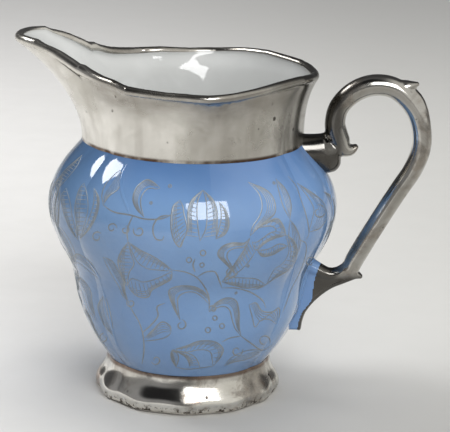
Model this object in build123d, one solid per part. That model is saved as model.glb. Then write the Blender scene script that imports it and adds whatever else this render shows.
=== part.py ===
from build123d import *
import os
from collections import namedtuple
from math import atan2, cos, hypot, pi, radians, sin, sqrt

# A porcelain cream jug with silver over its collar, foot and handle and a blue glaze between.
# Millimetres. +Z up, the origin on the jug's axis in the plane of its foot ring.
# The handle points to +X and the pouring lip to -X. The jug is alike in front and behind.

# Driving dimensions: heights over the foot ring
FOOT_TOP_Z = 12.0
SKIRT_Z = 34.0
BELLY_Z = 61.0
COLLAR_Z = 81.8
RIM_Z = 102.4
LIP_Z = 112.8

# Driving dimensions: radii on the middle of the panel under the handle
FOOT_RING_R = 27.6
FOOT_R = 28.9
FOOT_WAIST_R = 25.7
SKIRT_R = 36.3
BELLY_R = 45.4
NECK_R = 34.3
RIM_R = 38.3
FOOT_SHIFT = -0.8

# Driving dimensions: the pouring lip
LIP_REACH = 55.4
LIP_HALF_WIDTH = 12.3
LIP_NOSE = 6.8
SPOUT_LENGTH = 20.8
SPOUT_HALF_WIDTH = 18.9

# Walls, skins and the foot's hollow
WALL = 3.0
RIM_WALL = 2.0
FLOOR = 4.5
SILVER = 0.35
GLAZE = 0.25
SILVER_FOOT_Z = 0.6
FOOT_BAND = 3.4
FOOT_HOLLOW_Z = 4.0
GLAZE_STRIP = 2.1
GLAZE_TOE = 10.0

# Driving dimensions: handle
SCROLL_OUT = 19.1
SCROLL_R = 14.0
SCROLL_Z = 86.6
BAR_DEPTH = 6.4
BAR_WIDTH = 7.4
ELBOW_OUT = 5.0
ELBOW_Z = 41.2
ROOT_Z = 78.8
ROOT_DEPTH = 12.6
ROOT_WIDTH = 10.4
WEB_WIDTH = 4.6
TOE_Z = 20.2
TOE_OUT = 3.6
SECTION_STEP = 3.2

# A crease is a groove from foot to rim that parts two panels. These lie behind the jug's
# middle plane, from the handle round to the lip, and the ones in front mirror them.
# body, collar: polar angle on the belly and at the collar's lower edge. depth: its radius
# as a share of the panel's. fold: how far each panel turns in to it, in degrees.
# rim: its end on the rim in plan. rise: that end's height. flare: 2 is a parabola, and
# more keeps the collar straight for longer before it flares.
Crease = namedtuple("Crease", "body collar depth fold rim rise flare")


def polar(radius, angle):
    """A point in plan, with its angle in degrees from the handle."""
    return radius * cos(radians(angle)), radius * sin(radians(angle))


CREASES = [
    Crease(15, 13, 0.986, 6, polar(RIM_R - 0.5, 12), RIM_Z + 0.6, 3.0),
    Crease(37, 33, 0.972, 6, polar(RIM_R - 1.3, 24), RIM_Z + 1.3, 2.8),
    Crease(80, 80, 1.0, 0, polar(RIM_R + 2.0, 82), RIM_Z + 0.1, 2.6),
    Crease(123, 124, 0.996, 1, polar(RIM_R - 0.2, 121), RIM_Z + 1.0, 2.3),
    Crease(140, 138, 0.972, 6, (SPOUT_LENGTH - LIP_REACH, SPOUT_HALF_WIDTH), RIM_Z + 3.6, 2.0),
    Crease(165, 151, 0.982, 6, (LIP_NOSE - LIP_REACH, LIP_HALF_WIDTH), LIP_Z, 2.0),
]

# The panels in the same order, the first astride the handle and the last astride the lip.
# start, end: the angle between the rim and its chord at the panel's ends. dip: how far the
# rim's middle lies under its ends.
Panel = namedtuple("Panel", "start end dip")
PANELS = [
    Panel(19, 19, 0.6),
    Panel(8, 8, 0.0),
    Panel(8, 24, -0.3),
    Panel(8, -14, 0.1),
    Panel(-4, -8, 0.3),
    Panel(2, 3, -0.6),
    Panel(58, 58, 0.3),
]


def curve(points, start=None, end=None):
    """A smooth edge in the XZ plane through (x, z) points, with its end directions if given."""
    ends = [Vector(start[0], 0, start[1]), Vector(end[0], 0, end[1])] if start else None
    return Edge.make_spline([Vector(x, 0, z) for x, z in points], tangents=ends)


def foot_profile():
    """The foot's outline from its ring up to the waist."""
    middle_z = FOOT_TOP_Z * 0.55
    return curve(
        [
            (FOOT_RING_R, 0),
            (FOOT_R, 2.0),
            (FOOT_R - (FOOT_R - FOOT_WAIST_R) * 0.4, middle_z),
            (FOOT_WAIST_R, FOOT_TOP_Z),
        ],
        (0.8, 0.5),
        (-0.15, 1),
    )


def belly_profile():
    """The belly's outline from the waist up to the neck."""
    skirt_rise = SKIRT_Z - FOOT_TOP_Z
    belly_rise = BELLY_Z - SKIRT_Z
    shoulder_rise = COLLAR_Z - BELLY_Z
    return curve(
        [
            (FOOT_WAIST_R, FOOT_TOP_Z),
            (SKIRT_R - (SKIRT_R - FOOT_WAIST_R) * 0.6, FOOT_TOP_Z + skirt_rise * 0.27),
            (SKIRT_R - (SKIRT_R - FOOT_WAIST_R) * 0.28, FOOT_TOP_Z + skirt_rise * 0.55),
            (SKIRT_R, SKIRT_Z),
            (SKIRT_R + (BELLY_R - SKIRT_R) * 0.16, SKIRT_Z + belly_rise * 0.26),
            (SKIRT_R + (BELLY_R - SKIRT_R) * 0.6, SKIRT_Z + belly_rise * 0.55),
            (SKIRT_R + (BELLY_R - SKIRT_R) * 0.94, SKIRT_Z + belly_rise * 0.85),
            (BELLY_R, BELLY_Z),
            (NECK_R + (BELLY_R - NECK_R) * 0.95, BELLY_Z + shoulder_rise * 0.2),
            (NECK_R + (BELLY_R - NECK_R) * 0.7, BELLY_Z + shoulder_rise * 0.53),
            (NECK_R + (BELLY_R - NECK_R) * 0.35, BELLY_Z + shoulder_rise * 0.77),
            (NECK_R, COLLAR_Z),
        ],
        (0.8, 1),
        (-1.1, 1),
    )


# A level is one section through the jug's outer face: where each crease is, with the
# slope of the wall there, and how the panels between them bow and dip.
Level = namedtuple("Level", "places bulges dips")
Place = namedtuple("Place", "x y z slope")


def mirrored(items):
    """The same list for the creases in front, which run back from the lip to the handle."""
    return list(items) + list(reversed(items))


def level_from(places, bulges, dips):
    """A level all the way round, from the places behind and the panels' bow at both ends."""
    front = [Place(p.x, -p.y, p.z, p.slope) for p in reversed(places)]
    swapped = [(b, a) for a, b in reversed(bulges[1:-1])]
    return Level(
        list(places) + front,
        bulges[1:] + swapped + bulges[:1],
        dips[1:] + list(reversed(dips[1:-1])) + dips[:1],
    )


def panel_bulges(angles):
    """How much each panel of a round section turns at its ends, folds included."""
    folds = [c.fold for c in CREASES]
    middle = [
        ((b - a) / 2 + folds[i], (b - a) / 2 + folds[i + 1])
        for i, (a, b) in enumerate(zip(angles, angles[1:]))
    ]
    first = (angles[0] + folds[0],) * 2
    last = (180 - angles[-1] + folds[-1],) * 2
    return [first] + middle + [last]


def body_level(profile, share):
    """The level at this share of a profile's length."""
    point = profile @ share
    along = profile % share
    slope = along.X / along.Z
    swing = max(0.0, (point.Z - BELLY_Z) / (COLLAR_Z - BELLY_Z)) ** 2
    shift = FOOT_SHIFT * (1 - min(1.0, point.Z / BELLY_Z)) ** 2
    angles = [c.body + (c.collar - c.body) * swing for c in CREASES]
    places = []
    for crease, angle in zip(CREASES, angles):
        x, y = polar(point.X * crease.depth, angle)
        places.append(Place(x + shift, y, point.Z, slope * crease.depth))
    return level_from(places, panel_bulges(angles), [0.0] * len(PANELS))


def collar_level(share):
    """The level at this share of the way from the collar's lower edge up to the rim."""
    angles = [c.collar for c in CREASES]
    places = []
    for crease, angle in zip(CREASES, angles):
        x, y = polar(NECK_R * crease.depth, angle)
        out = share**crease.flare
        rate = crease.flare * share ** (crease.flare - 1)
        reach = hypot(crease.rim[0], crease.rim[1]) - hypot(x, y)
        place = Place(
            x + (crease.rim[0] - x) * out,
            y + (crease.rim[1] - y) * out,
            COLLAR_Z + (crease.rise - COLLAR_Z) * share,
            reach * rate / (crease.rise - COLLAR_Z),
        )
        places.append(place)
    bow = share**2
    bulges = [
        (a + (p.start - a) * bow, b + (p.end - b) * bow)
        for (a, b), p in zip(panel_bulges(angles), PANELS)
    ]
    return level_from(places, bulges, [p.dip * bow for p in PANELS])


def headings(level):
    """For each panel of a level, the direction in plan at its start and at its end."""
    found = []
    count = len(level.places)
    for i, (start_bulge, end_bulge) in enumerate(level.bulges):
        a = level.places[i]
        b = level.places[(i + 1) % count]
        chord = atan2(b.y - a.y, b.x - a.x)
        found.append((chord - radians(start_bulge), chord + radians(end_bulge)))
    return found


def ring(level, out=0.0, up=0.0, flat=False):
    """A closed wire of cubic panels round a level. out moves it along the wall's outward
    normal and up along the wall. flat keeps it level, so that a plane face can end there."""
    heads = headings(level)
    count = len(level.places)
    outs = out if isinstance(out, list) else [out] * count
    ups = up if isinstance(up, list) else [up] * count
    corners = []
    for i, place in enumerate(level.places):
        arriving = heads[i - 1][1]
        turn = (heads[i][0] - arriving + pi) % (2 * pi) - pi
        normal = arriving + turn / 2 - pi / 2
        slope = 0.0 if flat else place.slope
        length = sqrt(1 + slope * slope)
        radial = (outs[i] + ups[i] * slope) / length
        rise = (ups[i] - outs[i] * slope) / length
        corners.append(
            Vector(place.x + radial * cos(normal), place.y + radial * sin(normal), place.z + rise)
        )
    edges = []
    for i in range(count):
        a = corners[i]
        b = corners[(i + 1) % count]
        start, end = heads[i]
        turn = (end - start + pi) % (2 * pi) - pi
        pull = hypot(b.X - a.X, b.Y - a.Y) / (3 * cos(turn / 4) ** 2)
        drop = level.dips[i] * 4 / 3
        rise = b.Z - a.Z
        first = a + Vector(pull * cos(start), pull * sin(start), rise / 3 - drop)
        second = b - Vector(pull * cos(end), pull * sin(end), rise / 3 + drop)
        edges.append(Edge.make_bezier(a, first, second, b))
    return Wire(edges)


def skin(rings):
    """Smooth faces through a run of rings, one to a panel."""
    return list(Shell.make_loft(rings).faces())


def annulus(outer, inner):
    """A flat ring between two level wires."""
    return Face(outer, [inner])


def solid_of(faces):
    """The solid that a closed set of faces bounds."""
    return Solid(Shell(faces))


def shares(count):
    """Even shares from 0 to 1."""
    return [i / (count - 1) for i in range(count)]


FOOT_LEVELS = [body_level(foot_profile(), s) for s in shares(6)]
BELLY_LEVELS = [body_level(belly_profile(), s) for s in shares(15)]
COLLAR_LEVELS = [collar_level(s) for s in shares(6)]

# Half the silver roll's thickness over each crease at the rim, handle side first
ROLL = mirrored([1.4, 1.4, 1.4, 1.55, 1.8, 1.45])
MIDDLE = -RIM_WALL / 2
ROLL_GRIP = RIM_WALL / 2 + SILVER


def roll_ring(level, angle, radius):
    """A ring on the rounded rim, at an angle in degrees over the top from its outer side."""
    turn = radians(angle)
    radii = radius if isinstance(radius, list) else [radius] * len(level.places)
    return ring(level, [MIDDLE + r * cos(turn) for r in radii], [r * sin(turn) for r in radii])


def roll_edge(level, side):
    """The ring where the silver roll meets the wall's outer (1) or inner (-1) skin."""
    drops = [-sqrt(r * r - ROLL_GRIP**2) for r in ROLL]
    return ring(level, MIDDLE + side * ROLL_GRIP, drops)


def wall_edge(level, side):
    """The porcelain under that ring."""
    drops = [-sqrt(r * r - ROLL_GRIP**2) for r in ROLL]
    return ring(level, MIDDLE + side * RIM_WALL / 2, drops)


def collar_faces():
    """The porcelain's outer face from the collar's lower edge to just under the rim."""
    return skin([ring(level) for level in COLLAR_LEVELS[:-1]] + [wall_edge(COLLAR_LEVELS[-1], 1)])


def rim_faces():
    """The porcelain's rounded rim."""
    top = COLLAR_LEVELS[-1]
    over = [roll_ring(top, angle, RIM_WALL / 2) for angle in (0, 45, 90, 135, 180)]
    return skin([wall_edge(top, 1)] + over + [wall_edge(top, -1)])


def inner_rings():
    """Rings up the inside of the wall, from the floor's edge to just under the rim."""
    floor_z = FOOT_HOLLOW_Z + FLOOR
    low = BELLY_LEVELS[1]
    floor_level = Level(
        [Place(p.x * 0.72, p.y * 0.72, floor_z, 0.0) for p in low.places], low.bulges, low.dips
    )
    rings = [ring(floor_level)]
    rings += [ring(level, -WALL) for level in BELLY_LEVELS[1:-1]]
    for share, level in list(zip(shares(6), COLLAR_LEVELS))[1:-1]:
        rings.append(ring(level, -WALL + (WALL - RIM_WALL) * share))
    return rings + [wall_edge(COLLAR_LEVELS[-1], -1)]


def porcelain_body():
    """The white jug: wall, floor, rounded rim and the foot ring with its hollow."""
    foot = [ring(level) for level in FOOT_LEVELS]
    inside = inner_rings()
    ring_inner = ring(FOOT_LEVELS[0], -FOOT_BAND, flat=True)
    hollow = Level(
        [Place(p.x, p.y, FOOT_HOLLOW_Z, 0.0) for p in FOOT_LEVELS[0].places],
        FOOT_LEVELS[0].bulges,
        FOOT_LEVELS[0].dips,
    )
    hollow_edge = ring(hollow, -FOOT_BAND - 1.2, flat=True)
    faces = skin(foot) + skin([ring(level) for level in BELLY_LEVELS]) + collar_faces() + rim_faces()
    faces += skin(inside) + [Face(inside[0])]
    faces += [annulus(foot[0], ring_inner)] + skin([ring_inner, hollow_edge]) + [Face(hollow_edge)]
    return solid_of(faces)


def filled_body():
    """The jug's outer form without its hollow, for trimming what is joined to it."""
    rim = wall_edge(COLLAR_LEVELS[-1], 1)
    lid = list(Shell.make_loft([rim, Vertex(0, 0, RIM_Z)]).faces())
    faces = skin([ring(level) for level in FOOT_LEVELS])
    faces += skin([ring(level) for level in BELLY_LEVELS]) + collar_faces() + lid
    return solid_of(faces + [Face(ring(FOOT_LEVELS[0]))])


def coat(levels, thickness):
    """A skin of even thickness over a run of level rings, with flat ends."""
    inner = [ring(level) for level in levels]
    outer = [ring(level, thickness, flat=True) for level in levels]
    ends = [annulus(outer[0], inner[0]), annulus(outer[-1], inner[-1])]
    return solid_of(skin(inner) + skin(outer) + ends)


def silver_collar():
    """Silver from the collar's lower edge up and over the rim in a roll."""
    top = COLLAR_LEVELS[-1]
    inner = ring(COLLAR_LEVELS[0])
    outer = [ring(level, SILVER, flat=True) for level in COLLAR_LEVELS[:-1]]
    over = [roll_ring(top, angle, ROLL) for angle in (5, 47, 90, 133, 175)]
    roll = [roll_edge(top, 1)] + over + [roll_edge(top, -1)]
    faces = skin(outer + [roll[0]]) + skin(roll)
    faces += skin([roll[-1], wall_edge(top, -1)]) + rim_faces() + collar_faces()
    return solid_of(faces + [annulus(outer[0], inner)])


def between(marks, values, share):
    """The value at a share, on straight lines between the values at the marks."""
    for a, b, low, high in zip(marks, marks[1:], values, values[1:]):
        if share <= b:
            return low + (high - low) * max(0.0, share - a) / (b - a)
    return values[-1]


def limb(stations, inset, skip=0, spare=0):
    """A rounded bar in the middle plane. Each station is x, z, half its depth in that plane
    and half its width across it, less the inset. Its path runs smoothly through them, and
    its sections are spaced evenly along the path. skip and spare are how many sections are
    left out at its start and its end."""
    path = curve([(x, z) for x, z, depth, width in stations])
    marks = [path.param_at_point(Vector(x, 0, z)) for x, z, depth, width in stations]
    depths = [depth for x, z, depth, width in stations]
    widths = [width for x, z, depth, width in stations]
    sections = []
    for share in shares(max(len(stations) + 2, round(path.length / SECTION_STEP))):
        along = path % share
        across = Vector(along.Z, 0, -along.X) * (between(marks, depths, share) - inset)
        side = Vector(0, between(marks, widths, share) - inset, 0)
        sections.append(oval(path @ share, across, side))
    return Solid.make_loft(sections[skip : len(sections) - spare])


def oval(middle, across, side):
    """An ellipse of four cubic edges from its two half axes."""
    pull = 0.5523
    edges = []
    for a, b in ((across, side), (side, -across), (-across, -side), (-side, across)):
        edges.append(
            Edge.make_bezier(middle + a, middle + a + b * pull, middle + b + a * pull, middle + b)
        )
    return Wire(edges)


def joined(solids):
    """One solid from overlapping ones."""
    body = solids[0]
    for solid in solids[1:]:
        body = body.fuse(solid)
    return body


def handle_form(inset):
    """The handle from end to end, both ends deep inside the jug's outer form. Inset by the
    silver's thickness it is the porcelain core, which stops short of the thin tips."""
    tail = 1.0 if inset else 0.0
    scroll_x = RIM_R + SCROLL_OUT
    depth = BAR_DEPTH / 2
    width = BAR_WIDTH / 2
    scroll = [
        (-0.42, -0.4, 0.2, 0.5),
        (-0.59, -0.52, 0.5, 0.75),
        (-0.78, -0.42, 0.78, 0.9),
        (-0.93, -0.14, 0.92, 1.0),
        (-0.965, 0.12, 0.96, 1.0),
        (-0.87, 0.457, 1.0, 1.0),
        (-0.62, 0.757, 1.04, 1.0),
        (-0.307, 0.936, 1.06, 1.0),
        (0.029, 0.993, 1.06, 1.0),
        (0.364, 0.921, 1.05, 1.0),
        (0.657, 0.7, 1.05, 1.0),
        (0.871, 0.4, 1.0, 1.0),
        (0.995, -0.01, 0.97, 0.97),
        (0.995, -0.46, 0.95, 0.95),
        (0.83, -0.925, 0.95, 0.95),
    ]
    bar = [
        (scroll_x + SCROLL_R * x, SCROLL_Z + SCROLL_R * z, depth * d, width * w)
        for x, z, d, w in scroll
    ]
    top_x, top_z = bar[-1][:2]
    elbow_x = BELLY_R + ELBOW_OUT
    for share in (0.21, 0.45, 0.68, 0.89):
        bar.append(
            (
                top_x + (elbow_x - top_x) * share * (1 + 0.09 * (1 - share)),
                top_z + (ELBOW_Z - top_z) * share,
                depth * 0.94,
                width * (0.95 - 0.1 * share),
            )
        )
    bar += [
        (elbow_x, ELBOW_Z, depth * 0.87, width * 0.82),
        (elbow_x - 3.1, ELBOW_Z - 1.9, depth * 0.72, width * 0.76),
        (elbow_x - 6.5, ELBOW_Z - 2.3, depth * 0.64, width * 0.76),
        (elbow_x - 9.6, ELBOW_Z - 1.2, depth * 0.72, width * 0.8),
        (SKIRT_R - 2.0, ELBOW_Z + 2.0, depth * 0.95, width * 0.9),
        (SKIRT_R - 7.0, ELBOW_Z + 4.6, depth * 1.05, width * 0.95),
    ]
    shoulder_x = (NECK_R + BELLY_R) / 2
    root = [
        (shoulder_x - 12.0, ROOT_Z + 0.2, ROOT_DEPTH * 0.46, ROOT_WIDTH * 0.56),
        (shoulder_x - 3.6, ROOT_Z - 0.2, ROOT_DEPTH * 0.45, ROOT_WIDTH * 0.52),
        (shoulder_x + 1.4, ROOT_Z - 0.4, ROOT_DEPTH * 0.51, ROOT_WIDTH * 0.48),
        (shoulder_x + 3.2, ROOT_Z - 0.1, ROOT_DEPTH * 0.51, ROOT_WIDTH * 0.44),
        (shoulder_x + 4.6, ROOT_Z + 0.4, ROOT_DEPTH * 0.43, ROOT_WIDTH * 0.4),
        (shoulder_x + 5.8, ROOT_Z + 1.0, ROOT_DEPTH * 0.28, ROOT_WIDTH * 0.36),
        (shoulder_x + 6.8, ROOT_Z + 1.4, ROOT_DEPTH * 0.16, ROOT_WIDTH * 0.3),
    ]
    leaf_x = scroll_x + SCROLL_R
    leaf_z = SCROLL_Z + SCROLL_R
    thumb = [
        (leaf_x - 12.0, leaf_z - 1.6, 1.3, 1.6),
        (leaf_x - 8.6, leaf_z - 0.5, 1.9, 2.2),
        (leaf_x - 5.4, leaf_z - 0.3, 2.0, 2.6),
        (leaf_x - 3.2, leaf_z + 0.2, 1.1, 1.9),
        (leaf_x - 1.8, leaf_z + 0.5, 0.5, 0.9),
    ]
    rib = [
        (leaf_x - 4.2, leaf_z - 1.2, 1.5, 2.3),
        (leaf_x - 0.9, leaf_z - 5.0, 1.5, 2.2),
        (leaf_x + 0.9, leaf_z - 10.8, 1.6, 2.1),
        (leaf_x + 1.5, leaf_z - 17.0, 1.5, 1.9),
        (leaf_x + 0.7, leaf_z - 24.0, 1.0, 1.3),
    ]
    spur = [
        (elbow_x - 2.6, ELBOW_Z - 0.6, 2.3, 2.9),
        (elbow_x + 0.4, ELBOW_Z - 1.4, 2.5, 2.8),
        (elbow_x + 2.3, ELBOW_Z - 2.3, 1.3, 2.2),
        (elbow_x + 3.9, ELBOW_Z - 2.9, 0.5, 1.2),
    ]
    toe_x = (FOOT_WAIST_R + SKIRT_R) / 2 + TOE_OUT
    drop = ELBOW_Z - TOE_Z
    hem = [
        (toe_x, TOE_Z + inset, 0.9, 2.7),
        (toe_x + 0.4, TOE_Z + drop * 0.15, 0.9, 2.7),
        (toe_x + 1.6, TOE_Z + drop * 0.32, 0.9, 2.7),
        (toe_x + 4.8, TOE_Z + drop * 0.52, 0.9, 2.7),
        (toe_x + 9.4, TOE_Z + drop * 0.7, 0.9, 2.7),
        (toe_x + 14.2, TOE_Z + drop * 0.805, 0.9, 2.6),
        (toe_x + 18.4, TOE_Z + drop * 0.87, 0.5, 1.5),
    ]
    under = curve([(x, z) for x, z, d, w in hem[:-1]])
    corner = Vector(hem[-2][0], 0, ELBOW_Z - 2.4 - inset)
    inner = Vector(FOOT_WAIST_R - 4.0 - tail, 0, ELBOW_Z + 1.2 - inset)
    heel = Vector(FOOT_WAIST_R - 4.0 - tail, 0, TOE_Z + inset)
    outline = [
        under,
        Edge.make_line(under @ 1, corner),
        Edge.make_line(corner, inner),
        Edge.make_line(inner, heel),
        Edge.make_line(heel, under @ 0),
    ]
    web = extrude(Face(Wire(outline)), WEB_WIDTH / 2 - inset, both=True).solid()
    if inset:
        return joined([limb(bar, inset, 1), limb(root, inset), web])
    tips = [limb(stations, 0.0) for stations in (thumb, rib, spur, hem)]
    return joined([limb(bar, 0.0, 0, 1), limb(root, 0.0, 1), web] + tips)


def glaze_zone(levels):
    """A solid from the jug's axis out to where the glaze ends on the handle's lower bracket.
    It reaches further out towards its lower end, so that it takes in the bracket's toe."""
    outer = []
    for share, level in zip(shares(len(levels)), levels):
        reach = GLAZE_STRIP + (GLAZE_TOE - GLAZE_STRIP) * (1 - share) ** 3
        outer.append(ring(level, reach, flat=True))
    return solid_of(skin(outer) + [Face(outer[0]), Face(outer[-1])])


def foot_coat():
    """Silver on the foot, standing clear of the table."""
    band = coat(FOOT_LEVELS, SILVER)
    return (band - Pos(0, 0, SILVER_FOOT_Z / 2 - 5) * Box(200, 200, 10 + SILVER_FOOT_Z)).solid()


outer_form = filled_body()
handle_skin = handle_form(0.0)
handle_core = handle_form(SILVER)
sleeve = handle_skin - handle_core - outer_form
glazed = glaze_zone(BELLY_LEVELS[:9])
glaze = coat(BELLY_LEVELS, GLAZE) - handle_skin + (sleeve & glazed)

PARTS = {
    "porcelain_body": porcelain_body(),
    "porcelain_handle": handle_core - outer_form,
    "blue_glaze": glaze,
    "silver_collar": silver_collar() - handle_skin,
    "silver_foot": foot_coat(),
    "silver_handle": sleeve - glazed,
}

os.makedirs("parts", exist_ok=True)
for name, solid in PARTS.items():
    print(name, solid.is_valid, [round(v.volume) for v in solid.solids()])
    export_step(solid, f"parts/{name}.step")
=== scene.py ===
import math

import bmesh
import bpy
import numpy as np
from mathutils import Euler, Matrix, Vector
from mathutils.bvhtree import BVHTree


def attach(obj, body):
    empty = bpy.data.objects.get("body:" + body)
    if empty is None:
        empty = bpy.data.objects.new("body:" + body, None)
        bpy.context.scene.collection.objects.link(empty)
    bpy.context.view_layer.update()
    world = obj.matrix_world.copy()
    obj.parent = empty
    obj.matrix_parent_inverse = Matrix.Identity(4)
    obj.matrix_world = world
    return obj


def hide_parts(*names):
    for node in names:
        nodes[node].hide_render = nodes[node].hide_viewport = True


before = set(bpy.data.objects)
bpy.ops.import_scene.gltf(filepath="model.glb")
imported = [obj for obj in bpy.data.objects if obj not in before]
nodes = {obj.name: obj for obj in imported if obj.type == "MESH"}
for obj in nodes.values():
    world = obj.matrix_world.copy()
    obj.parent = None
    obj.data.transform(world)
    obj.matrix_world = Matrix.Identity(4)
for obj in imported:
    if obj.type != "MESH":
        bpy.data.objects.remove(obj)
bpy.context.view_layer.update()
MM = 0.001

# The camera, fitted to the photograph's viewing angle

# Its place is in metres, its turn in degrees, its lens and sensor in millimetres and its
# frame in pixels
CAMERA_PLACE = (0.024429, -0.699574, 0.2387)
CAMERA_TURN = (75.4427, -1.1808, 1.4564)
CAMERA_LENS = 182.7
SENSOR_WIDTH = 36
FRAME_WIDTH = 450
FRAME_HEIGHT = 432


# Node helpers


def link(tree, a, b):
    tree.links.new(a, b)


def math_node(tree, operation, a, b):
    """Two values worked into one, each a socket or a number."""
    made = tree.nodes.new("ShaderNodeMath")
    made.operation = operation
    for i, v in enumerate((a, b)):
        if isinstance(v, (int, float)):
            made.inputs[i].default_value = v
        else:
            link(tree, v, made.inputs[i])
    return made.outputs[0]


def multiply(tree, a, b):
    return math_node(tree, "MULTIPLY", a, b)


def add(tree, a, b):
    return math_node(tree, "ADD", a, b)


def noise(tree, coords, scale, detail=3.0, rough=0.5, distortion=0.0):
    made = tree.nodes.new("ShaderNodeTexNoise")
    made.inputs["Scale"].default_value = scale
    made.inputs["Detail"].default_value = detail
    made.inputs["Roughness"].default_value = rough
    made.inputs["Distortion"].default_value = distortion
    link(tree, coords, made.inputs["Vector"])
    return made.outputs["Fac"]


def span(tree, value, low, high, to_low=0.0, to_high=1.0):
    """Maps low..high to to_low..to_high, clamped and smooth. Low may be above high."""
    made = tree.nodes.new("ShaderNodeMapRange")
    made.interpolation_type = "SMOOTHSTEP"
    link(tree, value, made.inputs["Value"])
    made.inputs["From Min"].default_value = low
    made.inputs["From Max"].default_value = high
    made.inputs["To Min"].default_value = to_low
    made.inputs["To Max"].default_value = to_high
    return made.outputs["Result"]


def mix(tree, factor, a, b):
    """A colour mixed from a and b, each a socket or a colour."""
    made = tree.nodes.new("ShaderNodeMix")
    made.data_type = "RGBA"
    link(tree, factor, made.inputs[0])
    for socket, value in ((made.inputs[6], a), (made.inputs[7], b)):
        if isinstance(value, tuple):
            socket.default_value = (*value, 1.0)
        else:
            link(tree, value, socket)
    return made.outputs[2]


def bump(tree, height, strength, distance, normal=None):
    made = tree.nodes.new("ShaderNodeBump")
    made.inputs["Strength"].default_value = strength
    made.inputs["Distance"].default_value = distance
    link(tree, height, made.inputs["Height"])
    if normal:
        link(tree, normal, made.inputs["Normal"])
    return made.outputs["Normal"]


def stretched(tree, coords, scale):
    made = tree.nodes.new("ShaderNodeMapping")
    made.inputs["Scale"].default_value = scale
    link(tree, coords, made.inputs["Vector"])
    return made.outputs["Vector"]


def axes_of(tree, coords):
    """The X, Y and Z of a place or a direction."""
    made = tree.nodes.new("ShaderNodeSeparateXYZ")
    link(tree, coords, made.inputs[0])
    return made.outputs["X"], made.outputs["Y"], made.outputs["Z"]


def new_material(name):
    material = bpy.data.materials.new(name)
    material.use_nodes = True
    tree = material.node_tree
    tree.nodes.clear()
    shader = tree.nodes.new("ShaderNodeBsdfPrincipled")
    output = tree.nodes.new("ShaderNodeOutputMaterial")
    link(tree, shader.outputs["BSDF"], output.inputs["Surface"])
    coords = tree.nodes.new("ShaderNodeTexCoord")
    return material, tree, shader, coords.outputs["Object"]


# Materials

# Each pair of places runs from where a mark starts to where it is full, in metres: Z above
# the table and X from the jug's axis towards the handle
COLLAR_SEAM_Z = (0.0832, 0.0823)
RIM_SHADE_Z = (0.0915, 0.1005)
PAST_THE_LIP_X = (-0.036, -0.024)
HANDLE_SIDE_SHADE_X = (0.018, 0.032)
FOOT_WEAR_Z = (0.0034, 0.0012)
FOOT_COPPER_Z = (0.009, 0.004)
FOOT_SEAM_Z = (0.0104, 0.0113)
ROOT_SHADE_X = (0.049, 0.045)
BRACKET_SHADE_Z = (0.0405, 0.0375)
UNDER_COLLAR_SHADE_Z = (0.068, 0.0815)
SPOUT_SIDE_SHADE_X = (-0.008, -0.042)
BARE_RING_Z = (0.0016, 0.0008)

BRIGHT_SILVER = (0.8, 0.78, 0.73)
CLOUDY_SILVER = (0.6, 0.58, 0.525)
DARK_TARNISH = (0.25, 0.225, 0.2)
LIGHT_TARNISH = (0.4, 0.36, 0.31)
RIM_PAINTED_SHADE = (0.2, 0.18, 0.155)
STREAK_TARNISH = (0.3, 0.27, 0.23)
HANDLE_SIDE_PAINTED_SHADE = (0.13, 0.125, 0.11)
RECESS_PAINTED_SHADE = (0.05, 0.047, 0.044)
PIT_DARK = (0.06, 0.05, 0.045)
WORN_DARK = (0.09, 0.075, 0.06)
COPPER = (0.3, 0.18, 0.12)
FOOT_SEAM_AND_SHADE = (0.13, 0.075, 0.05)
COLLAR_SEAM_AND_SHADE = (0.1, 0.06, 0.04)
DEEP_BLUE = (0.155, 0.285, 0.535)
PALE_BLUE = (0.2, 0.345, 0.6)
MOTTLED_BLUE = (0.2, 0.32, 0.52)
UNDER_COLLAR_PAINTED_SHADE = (0.075, 0.175, 0.41)
SPOUT_SIDE_PAINTED_SHADE = (0.09, 0.185, 0.33)
CLOUDY_WHITE = (0.58, 0.59, 0.58)
CLEAR_WHITE = (0.64, 0.65, 0.64)
SPECK_GREY = (0.35, 0.33, 0.3)
BARE_WHITE = (0.7, 0.67, 0.62)
DARK_LINE = (0.23, 0.26, 0.29)
PALE_LINE = (0.31, 0.345, 0.375)


def collar_marks(tree, coords, colour, rough):
    """A dark seam line along the glaze, partly painted shade under the collar's edge; painted
    shade under the rim that stops short of the lip; painted shade on the side at the handle; and
    faint upright streaks of tarnish."""
    x, y, z = axes_of(tree, coords)
    # A dark seam line, partly painted shade under the collar's lower edge
    uneven = span(tree, noise(tree, coords, scale=120, detail=3), 0.3, 0.55)
    seam = multiply(tree, span(tree, z, *COLLAR_SEAM_Z), uneven)
    colour = mix(tree, seam, colour, COLLAR_SEAM_AND_SHADE)
    flat_cloud = noise(tree, stretched(tree, coords, (60, 60, 190)), scale=1, detail=4, rough=0.6)
    # Painted shade: the collar darker under the rim, where it reflects a darker room
    rim_shade = span(tree, z, *RIM_SHADE_Z)
    rim_shade = multiply(tree, rim_shade, span(tree, flat_cloud, 0.2, 0.6, 0.3, 0.65))
    rim_shade = multiply(tree, rim_shade, span(tree, x, *PAST_THE_LIP_X))
    colour = mix(tree, rim_shade, colour, RIM_PAINTED_SHADE)
    # Painted shade on the collar's side towards the handle
    shade_by_handle = span(tree, x, *HANDLE_SIDE_SHADE_X, 0.0, 0.45)
    colour = mix(tree, shade_by_handle, colour, HANDLE_SIDE_PAINTED_SHADE)
    upright_cloud = noise(tree, stretched(tree, coords, (150, 150, 22)), scale=1, detail=3)
    streak = multiply(tree, span(tree, upright_cloud, 0.45, 0.7), 0.3)
    return mix(tree, streak, colour, STREAK_TARNISH), rough


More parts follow.
